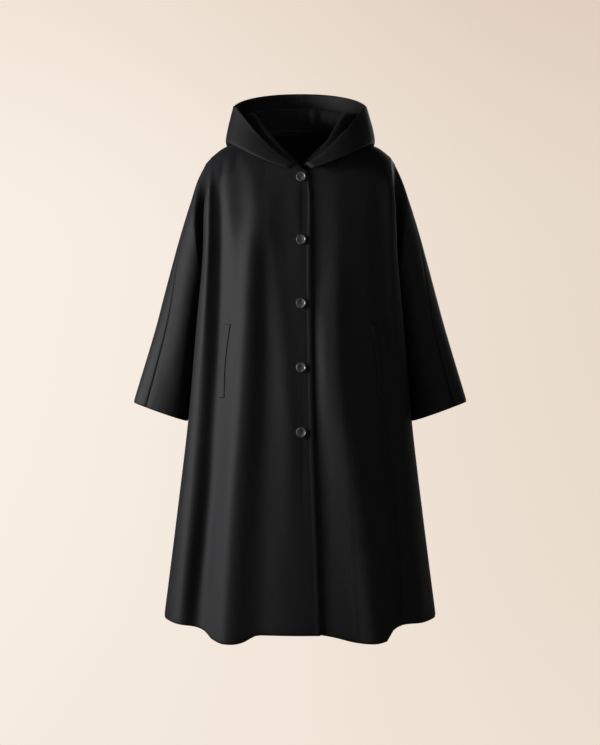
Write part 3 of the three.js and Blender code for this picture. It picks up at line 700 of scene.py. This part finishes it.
woolLook = {
    "dark": (0.0050, 0.0048, 0.0056),
    "light": (0.0095, 0.0092, 0.0108),
    "hair": (0.020, 0.020, 0.023),
    "wornEdge": (0.022, 0.021, 0.024),
    "wear": 0.35,
    "rough": (0.52, 0.66),
    "gloss": 0.34,
    "sheen": 0.04,
    "sheenRough": 0.42,
    "sheenTint": (0.80, 0.82, 1.0),
    "bump": 0.55,
    "bumpHeight": 0.0006,
    "fibreScale": 1300.0,
    "twillScale": 700.0,
}
tapeLook = {
    **woolLook,
    "dark": (0.012, 0.012, 0.013),
    "light": (0.020, 0.020, 0.022),
    "rough": (0.62, 0.76),
    "gloss": 0.35,
    "twillScale": 1500.0,
}
wool = makeCloth("wool", woolLook)
tapeCloth = makeCloth("neckTape", tapeLook)

hornLook = {
    "dark": (0.048, 0.045, 0.042),
    "light": (0.270, 0.260, 0.250),
    "rough": (0.22, 0.44),
    "bump": 0.12,
    "bumpHeight": 0.0002,
    "coat": 0.5,
    "coatRough": 0.15,
}


def makeHorn(look):
    material, tree, link, shader = newMaterial("horn")
    place = addNode(tree, "ShaderNodeTexCoord")
    streaks = addNode(tree, "ShaderNodeTexNoise", {"Scale": 170, "Detail": 6, "Distortion": 1.6})
    link(place.outputs["Object"], streaks.inputs["Vector"])
    colour = addBlend(tree, {"A": look["dark"], "B": look["light"]})
    spread = addNode(tree, "ShaderNodeMapRange", {"From Min": 0.32, "From Max": 0.70})
    link(streaks.outputs["Fac"], spread.inputs["Value"])
    link(spread.outputs["Result"], colour.inputs["Factor"])
    link(colour.outputs["Result"], shader.inputs["Base Color"])
    fine = addNode(tree, "ShaderNodeTexNoise", {"Scale": 900})
    link(place.outputs["Object"], fine.inputs["Vector"])
    addGrain(tree, fine.outputs["Fac"], look)
    setValues(shader, {"Coat Weight": look["coat"], "Coat Roughness": look["coatRough"]})
    return material


horn = makeHorn(hornLook)


print("body panels")


def panelColumns(face):
    columns = evenSteps(0, 2, body["columns"])
    if face == "front":
        count = body["lapColumns"]
        columns = [-(1 - (i / count) ** body["lapCurve"]) for i in range(count)] + columns
    return columns


# The rounded corner at the top of the front edge, and rows from there to the hem.
def panelPlace(face, side, u, row):
    topX, topZ = topOfColumn(face, side, u)
    if u < 0:
        lap = bodyAt("lap", topZ)
        radius = body["cornerRadius"]
        fromCentre = clamp(radius - (1 + u) * lap, 0, radius)
        topZ -= radius - math.sqrt(radius * radius - fromCentre * fromCentre)
    if row <= 1:
        z = mix(topZ, -body["underarmDrop"], row)
    else:
        z = mix(-body["underarmDrop"], hemZ(face, side, u), row - 1)
    return bodyPlace(face, side, u, z)


# The front edge is padded up to its row of stitches.
frontEdge = {"stitch": 0.0085, "pad": 0.0006, "padReach": 0.0015, "dip": 0.0006, "dipWidth": 0.0012,
             "round": 0.0010, "roundReach": 0.0012}


def frontRelief(gaps):
    fromEdge = gaps["l"]
    padded = frontEdge["pad"] * (1 - ease((fromEdge - frontEdge["stitch"]) / frontEdge["padReach"]))
    stitched = -frontEdge["dip"] * hump(fromEdge - frontEdge["stitch"], frontEdge["dipWidth"])
    rounded = -frontEdge["round"] * math.exp(-fromEdge / frontEdge["roundReach"])
    return padded + stitched + rounded + hemRelief(gaps)


# The hem is softly rounded under.
def hemRelief(gaps):
    return -cloth["hemDip"] * math.exp(-gaps["b"] / cloth["hemReach"])


bodyMiddle = Vector((0, 0, -0.5))
rowsOfPanel = evenSteps(0, 1, body["upperRows"]) + evenSteps(1, 2, body["lowerRows"])[1:]
for side in (-1, 1):
    for face in ("front", "back"):
        name = f"{face}_{sideName(side)}"
        panel = makeSheet(
            f"{name}_cloth",
            panelColumns(face),
            rowsOfPanel,
            lambda u, row, face=face, side=side: panelPlace(face, side, u, row),
            relief=frontRelief if face == "front" else hemRelief,
            edges="lb" if face == "front" else "b",
            inside=bodyMiddle,
        )
        finishPiece(panel, wool, "wool", name)


print("sleeves")
sleeve = {
    "upperDepth": 0.054,
    "cuffDepth": 0.046,
    "skew": 0.13,          # the front of the sleeve lies nearer the body toward the cuff
    "turn": 50,            # degrees that the overarm seam swings to the front
    "turnReach": 0.6,
    "depthReach": 0.16,
    "bulge": 0.005,
    "underGap": 0.003,
    "seamSplit": 0.0006,
    "calmReach": 0.25,
    "waves": 1.6,
    "columns": 44,
    "rows": 130,
    "seamDip": 0.0014,
    "seamWidth": 0.0045,
}


def sleevePlace(side, half, phi, along):
    name = sideName(side)
    rows = overarm[name]
    bottom = underarm[name]
    topZ = mix(rows[0]["z"], rows[-1]["z"], along)
    topX = readTable(rows, "z", "out", topZ)
    bottomZ = mix(-body["underarmDrop"], bottom["cuffZ"], along)
    bottomX = mix(bottom["out"] + sleeve["underGap"], bottom["cuffOut"], along)
    turn = math.radians(sleeve["turn"]) * ease(along / sleeve["turnReach"])
    angle = (phi if half == "front" else -phi) + turn
    bulge = sleeve["bulge"] * math.sin(math.pi * along)
    depth = mix(sleeve["upperDepth"], sleeve["cuffDepth"], ease(along)) + bulge
    depth = mix(body["armholeDepth"], depth, ease(along / sleeve["depthReach"]))
    share = (1 + math.cos(angle)) / 2 - sleeve["skew"] * ease(along) * math.sin(angle) ** 2
    x = mix(bottomX, topX, share) + sleeve["seamSplit"] * math.sin(phi) * (1 - along)
    point = Vector((side * x, -depth * math.sin(angle), mix(bottomZ, topZ, share)))
    calm = ease(along / sleeve["calmReach"])
    point.y += waviness(point) * calm * math.sin(angle) * sleeve["waves"]
    return point


def sleeveRelief(gaps):
    seam = min(gaps["l"], gaps["r"])
    return -sleeve["seamDip"] * hump(seam, sleeve["seamWidth"]) + hemRelief(gaps)


for side in (-1, 1):
    for half in ("front", "back"):
        name = f"sleeve_{sideName(side)}_{half}"
        middle = Vector((side * 0.26, 0, -0.35))
        piece = makeSheet(
            f"{name}_cloth",
            evenSteps(0, math.pi, sleeve["columns"]),
            evenSteps(0, 1, sleeve["rows"]),
            lambda phi, along, side=side, half=half: sleevePlace(side, half, phi, along),
            relief=sleeveRelief,
            edges="lrb",
            inside=middle,
        )
        finishPiece(piece, wool, "wool", name)


print("hood")
hood = {
    "columns": 84,
    "rows": 120,
    "start": 3.5,          # degrees from the middle of the front
    "leftSag": 1.3,        # the inner fold lies lower on the wearer's left
    "innerEnd": 0.4,
    "roundPlan": 0.9,      # the plan of every ring toward the back
    "planFrom": 80,
    "planReach": 50,
    "leastBend": 0.6,
    "neckStep": 0.006,
    "restFrom": 0.4,       # the outer layer is held off the shoulder, between these places
    "restTo": 0.9,
    "restStart": 12,       # and these angles
    "restEnd": 130,
    "restGap": 0.0032,
    "restBlend": 0.002,
    "foldStart": 0.1,
    "seamEnd": 179.7,
}
hoodEdge = {"stitch": 0.008, "pad": 0.0002, "padReach": 0.003, "dip": 0.0004, "dipWidth": 0.0018,
            "seamDip": 0.0001, "seamWidth": 0.003}

# From the neck seam up to the inner fold, down into the pouch and up again to the face edge.
hoodRings = tableOf(
    "at right left front back zFront zSide zBack bend sag plan",
    (0.12, 0.098, 0.093, 0.113, 0.078, -0.073, 0.034, 0.060, 1, 1.3, 0.9),
    (0.24, 0.109, 0.097, 0.116, 0.092, -0.071, 0.062, 0.093, 1, 1.15, 0.9),
    (0.29, 0.119, 0.106, 0.117, 0.100, -0.070, 0.067, 0.101, 1, 1.2, 0.9),
    (0.34, 0.129, 0.116, 0.118, 0.108, -0.071, 0.060, 0.093, 1, 1.25, 0.9),
    (0.46, 0.139, 0.130, 0.120, 0.124, -0.074, 0.030, 0.012, 1.6, 1.3, 0.86),
    (0.58, 0.154, 0.150, 0.124, 0.137, -0.080, 0.003, -0.084, 2.2, 1.1, 0.76),
    (0.64, 0.166, 0.163, 0.128, 0.150, -0.083, -0.008, -0.112, 2.4, 1.1, 0.70),
    (0.70, 0.173, 0.170, 0.131, 0.168, -0.082, -0.004, -0.098, 2.2, 1.15, 0.70),
    (0.82, 0.170, 0.167, 0.130, 0.180, -0.078, 0.024, -0.004, 1.5, 1.25, 0.78),
    (0.92, 0.163, 0.159, 0.128, 0.172, -0.074, 0.056, 0.092, 1, 1.35, 0.86),
    (1.00, 0.156, 0.151, 0.125, 0.156, -0.071, 0.084, 0.150, 1, 1.43, 0.9),
)

# Soft folds of the hood: a place by angle from the middle of the front and by height up the cloth, with
# its reach along each, and how far the cloth is pushed out.
hoodFolds = tableOf(
    "side angle width at span out",
    (1, 171, 4, 0.16, 0.11, 0.0040),
    (1, 162, 4, 0.18, 0.10, -0.0045),
    (1, 152, 5, 0.17, 0.10, 0.0035),
    (1, 116, 9, 0.22, 0.09, -0.0040),
    (-1, 164, 6, 0.15, 0.09, -0.0025),
    (-1, 104, 10, 0.22, 0.10, 0.0040),
    (-1, 154, 8, 0.76, 0.12, -0.0060),
    (-1, 124, 12, 0.72, 0.10, 0.0050),
    (1, 160, 9, 0.74, 0.13, 0.0055),
    (1, 136, 10, 0.78, 0.11, -0.0055),
)


# A place on the neckline at an angle from the middle of the front, and the way the cloth faces there.
def neckPlace(side, angle):
    face = "front" if angle <= 90 else "back"
    x = body["neckHalf"] * math.sin(math.radians(angle))
    share = shareAt(x, body["shoulderTopHalf"])
    z = neckZ(face, x)
    point = bodyPlace(face, side, share, z)
    down = bodyPlace(face, side, share, z - hood["neckStep"]) - point
    outward = Vector((point.x, point.y, 0)).normalized()
    normal = (outward - down * (outward.dot(down) / down.length_squared)).normalized()
    return point, normal


def hoodRing(side, angle, at):
    sine = math.sin(math.radians(angle))
    cosine = math.cos(math.radians(angle))
    ring = {column: readTable(hoodRings, "at", column, at) for column in hoodRings[0]}
    plan = mix(ring["plan"], hood["roundPlan"], ease((angle - hood["planFrom"]) / hood["planReach"]))
    x = ring[sideName(side)] * max(sine, 0) ** plan
    if cosine > 0:
        sag = ring["sag"] * (hood["leftSag"] if side > 0 and at < hood["innerEnd"] else 1)
        z = mix(ring["zFront"], ring["zSide"], sine ** sag)
        return Vector((side * x, -ring["front"] * cosine ** ring["plan"], z))
    toBack = (-cosine) ** max(ring["bend"], hood["leastBend"])
    y = ring["back"] * (-cosine) ** hood["roundPlan"]
    return Vector((side * x, y, mix(ring["zSide"], ring["zBack"], toBack)))


# The height of the shoulder's cloth under a place, found in a few rounds from a first guess.
restStart = 0.03
restRounds = 4


def restHeight(side, x, y):
    face = "front" if y < 0 else "back"
    top = shoulderHeight(face, max(abs(x), body["neckHalf"]))
    z = top - restStart
    for n in range(restRounds):
        half = bodyAt(sideName(side), z)
        depth = bodyAt(face, z)
        fold = bodyAt(face + "Fold", z)
        full = fold + (depth - fold) * math.sqrt(max(0, 1 - (x / half) ** 2))
        full += foldRise(face, side, abs(x), z)
        over = min(abs(y) / full, 1)
        z = top - body["shoulderRound"] * fallAt(over)
    return z


def hoodPlace(side, angle, at):
    point = looseHoodPlace(side, angle, at)
    outward = Vector((point.x, point.y, 0)).normalized()
    for fold in hoodFolds:
        away = ((angle - fold["angle"]) / fold["width"]) ** 2 + ((at - fold["at"]) / fold["span"]) ** 2
        if fold["side"] == side and away < foldReach ** 2:
            point += outward * fold["out"] * math.exp(-away) * ease(at / hood["foldStart"])
    if hood["restFrom"] < at < hood["restTo"] and hood["restStart"] < angle < hood["restEnd"]:
        lowest = restHeight(side, point.x, point.y) + hood["restGap"]
        gap = point.z - lowest
        point.z = lowest + (gap + math.hypot(gap, hood["restBlend"])) / 2
    return point


def looseHoodPlace(side, angle, at):
    first = hoodRings[0]["at"]
    if at <= first:
        point, normal = neckPlace(side, angle)
        end = hoodRing(side, angle, first)
        rising = (end - point).normalized()
        lift = cloth["thickness"] / 2 * max(normal.dot(rising), 0) + 2 * cloth["seamGap"]
        point += normal * lift + rising * 3 * cloth["seamGap"]
        return point.lerp(end, at / first)
    return hoodRing(side, angle, at)


def hoodRelief(gaps):
    fromEdge = gaps["b"]
    padded = hoodEdge["pad"] * (1 - ease((fromEdge - hoodEdge["stitch"]) / hoodEdge["padReach"]))
    stitched = -hoodEdge["dip"] * hump(fromEdge - hoodEdge["stitch"], hoodEdge["dipWidth"])
    return padded + stitched - hoodEdge["seamDip"] * hump(gaps["r"], hoodEdge["seamWidth"])


for side in (-1, 1):
    name = f"hood_{sideName(side)}"
    piece = makeSheet(
        f"{name}_cloth",
        evenSteps(hood["start"], 180, hood["columns"])[:-1] + [hood["seamEnd"], 180],
        evenSteps(0, 1, hood["rows"]),
        lambda angle, at, side=side: hoodPlace(side, angle, at),
        relief=hoodRelief,
        edges="rb",
    )
    finishPiece(piece, wool, "wool", name)


print("pocket welts")
welt = {
    "topX": 0.162,
    "topZ": -0.427,
    "bottomX": 0.176,
    "bottomZ": -0.591,
    "width": 0.013,
    "thickness": 0.002,
    "bow": 0.004,
    "lift": 0.0021,
    "round": 0.0008,
    "roundReach": 0.0012,
    "columns": 12,
    "rows": 84,
}


def weltPlace(side, across, along):
    middle = mix(welt["topX"], welt["bottomX"], along) + welt["bow"] * math.sin(math.pi * along)
    x = middle + across * welt["width"] / 2
    point, normal = onBody("front", side, x, mix(welt["topZ"], welt["bottomZ"], along))
    return point + normal * welt["lift"]


def weltRelief(gaps):
    return -welt["round"] * math.exp(-min(gaps.values()) / welt["roundReach"])


for side in (-1, 1):
    name = f"welt_{sideName(side)}"
    piece = makeSheet(
        f"{name}_cloth",
        evenSteps(-1, 1, welt["columns"]),
        evenSteps(0, 1, welt["rows"]),
        lambda across, along, side=side: weltPlace(side, across, along),
        relief=weltRelief,
        thickness=welt["thickness"],
        inside=bodyMiddle,
    )
    finishPiece(piece, wool, "wool", name)


print("neck tape")
tape = {
    "from": 120,           # degrees from the middle of the front
    "low": 0.003,
    "high": 0.043,
    "thickness": 0.0012,
    "gap": 0.0004,
    "step": 0.01,
    "columns": 60,
    "rows": 6,
}


def tapePlace(angle, at):
    side = -1 if angle <= 180 else 1
    turn = angle if angle <= 180 else 360 - angle
    point = hoodPlace(side, turn, at)
    along = hoodPlace(side, turn - 1, at) - point
    up = hoodPlace(side, turn, at + tape["step"]) - point
    inward = along.cross(up).normalized()
    if inward.x * point.x + inward.y * point.y > 0:
        inward.negate()
    return point + inward * (cloth["thickness"] / 2 + tape["gap"] + tape["thickness"] / 2)


piece = makeSheet(
    "neck_tape_cloth",
    evenSteps(tape["from"], 360 - tape["from"], tape["columns"]),
    evenSteps(tape["low"], tape["high"], tape["rows"]),
    tapePlace,
    relief=lambda gaps: 0,
    thickness=tape["thickness"],
)
finishPiece(piece, tapeCloth, "tape", "neck_tape")


print("buttons")
button = {
    "radius": 0.0110,
    "height": 0.0036,
    "holeRadius": 0.00125,
    "holeSpread": 0.0025,
    "bearing": 0.86,       # the part of the radius that rests on the cloth
    "first": 0.098,
    "spacing": 0.142,
    "gap": 0.0003,
    "turns": (17, -8, 24, 3, -15),  # degrees, one for each button
    "steps": 64,
    "holeSteps": 20,
}
# Half of the disc's outline, in shares of its radius and height: the back, the rim and the dish.
discOutline = tableOf(
    "across up",
    (0, 0), (0.80, 0), (0.90, 0.08), (0.98, 0.30), (1, 0.50),
    (0.985, 0.78), (0.94, 0.96), (0.885, 1), (0.83, 0.96), (0.77, 0.80),
    (0.70, 0.60), (0.62, 0.48), (0.48, 0.42), (0.24, 0.40), (0, 0.395),
)


def buttonDisc():
    r = button["radius"]
    h = button["height"]
    bm = bmesh.new()
    verts = [bm.verts.new((row["across"] * r, 0, row["up"] * h)) for row in discOutline]
    spinRound(bm, verts, button["steps"])
    bmesh.ops.recalc_face_normals(bm, faces=bm.faces[:])
    return bm


def holePins():
    bm = bmesh.new()
    for i in range(4):
        turn = math.radians(45 + 90 * i)
        centre = Vector((math.cos(turn), math.sin(turn), 0)) * button["holeSpread"]
        bmesh.ops.create_cone(
            bm, cap_ends=True, segments=button["holeSteps"], radius1=button["holeRadius"],
            radius2=button["holeRadius"], depth=3 * button["height"], matrix=Matrix.Translation(centre))
    return bm


# The disc with its holes cut, as a finished mesh.
def drilledDisc():
    disc = objectOf("disc", buttonDisc())
    pins = objectOf("pins", holePins())
    cut = disc.modifiers.new("holes", "BOOLEAN")
    cut.operation = "DIFFERENCE"
    cut.object = pins
    cut.solver = "EXACT"
    shape = bpy.data.meshes.new_from_object(disc.evaluated_get(bpy.context.evaluated_depsgraph_get()))
    bpy.data.objects.remove(disc)
    bpy.data.objects.remove(pins)
    return shape


discShape = drilledDisc()
bearing = button["bearing"] * button["radius"]
for i, turned in enumerate(button["turns"]):
    z = -button["first"] - i * button["spacing"]
    point, normal = onBody("front", -1, 0, z)
    lift = 0
    for degrees in range(0, 360, 30):
        turn = math.radians(degrees)
        rim, ignored = onBody("front", -1, bearing * math.cos(turn), z + bearing * math.sin(turn))
        lift = max(lift, (rim - point).dot(normal))
    seat = point + normal * (lift + cloth["thickness"] / 2 + button["gap"])
    bm = bmesh.new()
    bm.from_mesh(discShape)
    facing = normal.to_track_quat("Z", "Y").to_matrix()
    for rotation in (Matrix.Rotation(math.radians(turned), 3, "Z"), facing):
        bmesh.ops.rotate(bm, verts=bm.verts[:], cent=(0, 0, 0), matrix=rotation)
    bmesh.ops.translate(bm, verts=bm.verts[:], vec=seat)
    for face in bm.faces:
        face.smooth = True
    piece = objectOf(f"button_{i + 1}_horn", bm)
    finishPiece(piece, horn, "horn", f"button_{i + 1}")


print("stage and light")
stage = {
    "floor": -1.62,
    "flat": 2.2,
    "wall": 6.0,
    "height": 5.5,
    "steps": 72,
    "bendSteps": 12,
    "roomLight": 0.035,
    "paper": (0.12, 0.105, 0.09),
    # The glow of the paper carries painted light: the lit colour at the left, painted shade at the right.
    "paintedLitSide": (0.955, 0.870, 0.790),
    "paintedShadeSide": (0.80, 0.69, 0.585),
    # Painted shade toward the top of the paper; the room's dim light uses the same colour.
    "upper": (0.86, 0.80, 0.74),
}


# Warm paper that glows to the eye, with painted light from the left and painted shade to the right and top;
# it gives the cloth only a little of that light.
def makePaper():
    material, tree, link, shader = newMaterial("paperSweep")
    setValues(shader, {"Base Color": (*stage["paper"], 1), "Roughness": 0.9, "Specular IOR Level": 0.1})
    place = addNode(tree, "ShaderNodeTexCoord")
    axes = addNode(tree, "ShaderNodeSeparateXYZ")
    link(place.outputs["Object"], axes.inputs["Vector"])
    # Painted light across the paper, from the lit left to the shaded right.
    across = addNode(tree, "ShaderNodeMapRange", {"From Min": -2.4, "From Max": 2.6},
                     interpolation_type="SMOOTHSTEP")
    link(axes.outputs["X"], across.inputs["Value"])
    paintedSideLight = addBlend(tree, {"A": stage["paintedLitSide"], "B": stage["paintedShadeSide"]})
    link(across.outputs["Result"], paintedSideLight.inputs["Factor"])
    # Painted shade that darkens the paper toward the top.
    paintedTopShade = addNode(tree, "ShaderNodeMapRange", {"From Min": 0.2, "From Max": 3.2, "To Max": 0.75},
                     interpolation_type="SMOOTHSTEP")
    link(axes.outputs["Z"], paintedTopShade.inputs["Value"])
    upper = addBlend(tree, {"B": stage["upper"]})
    upper.blend_type = "MULTIPLY"
    link(paintedTopShade.outputs["Result"], upper.inputs["Factor"])
    link(paintedSideLight.outputs["Result"], upper.inputs["A"])
    glow = addNode(tree, "ShaderNodeEmission")
    link(upper.outputs["Result"], glow.inputs["Color"])
    path = addNode(tree, "ShaderNodeLightPath")
    choose = addNode(tree, "ShaderNodeMixShader")
    link(path.outputs["Is Camera Ray"], choose.inputs["Fac"])
    link(shader.outputs["BSDF"], choose.inputs[1])
    link(glow.outputs["Emission"], choose.inputs[2])
    link(choose.outputs["Shader"], tree.nodes["Material Output"].inputs["Surface"])
    return material


# A pale floor that curves up into a wall all round.
def makeStage():
    bm = bmesh.new()
    bend = stage["wall"] - stage["flat"]
    outline = [(0, stage["floor"]), (stage["flat"], stage["floor"])]
    for i in range(1, stage["bendSteps"] + 1):
        angle = math.radians(90 * i / stage["bendSteps"])
        x = stage["flat"] + bend * math.sin(angle)
        outline.append((x, stage["floor"] + bend * (1 - math.cos(angle))))
    outline.append((stage["wall"], stage["floor"] + stage["height"]))
    verts = [bm.verts.new((x, 0, z)) for x, z in outline]
    spinRound(bm, verts, stage["steps"])
    for face in bm.faces:
        face.smooth = True
    floor = objectOf("studioFloor", bm)
    floor.data.materials.append(makePaper())


lamps = tableOf(
    "name at to size power colour",
    ("key", (-2.9, -0.85, 0.02), (0, 0, -0.5), 1.0, 98, (0.98, 0.98, 1.0)),
    ("front", (0.2, -3.2, 1.0), (0, 0, -0.1), 1.2, 2, (1.0, 0.98, 0.95)),
    ("back", (0.9, 3.5, 0.6), (0, 0, -0.5), 2.4, 40, (1.0, 0.98, 0.95)),
    ("side", (2.9, 2.2, 0.2), (0, 0, -0.5), 1.6, 8, (1.0, 0.98, 0.95)),
    ("fill", (2.3, -2.7, 0.3), (0, 0, -0.5), 2.0, 9, (1.0, 0.98, 0.95)),
)


def makeLamps():
    for lamp in lamps:
        light = bpy.data.lights.new(lamp["name"], "AREA")
        light.size = lamp["size"]
        light.energy = lamp["power"]
        light.color = lamp["colour"]
        obj = bpy.data.objects.new(lamp["name"], light)
        scene.collection.objects.link(obj)
        obj.location = lamp["at"]
        aim = Vector(lamp["to"]) - Vector(lamp["at"])
        obj.rotation_euler = aim.to_track_quat("-Z", "Y").to_euler()


makeStage()
makeLamps()
world = bpy.data.worlds.new("room")
world.use_nodes = True
setValues(world.node_tree.nodes["Background"], {
    "Color": (*stage["upper"], 1),
    "Strength": stage["roomLight"],
})
scene.world = world
scene.view_settings.view_transform = "Standard"
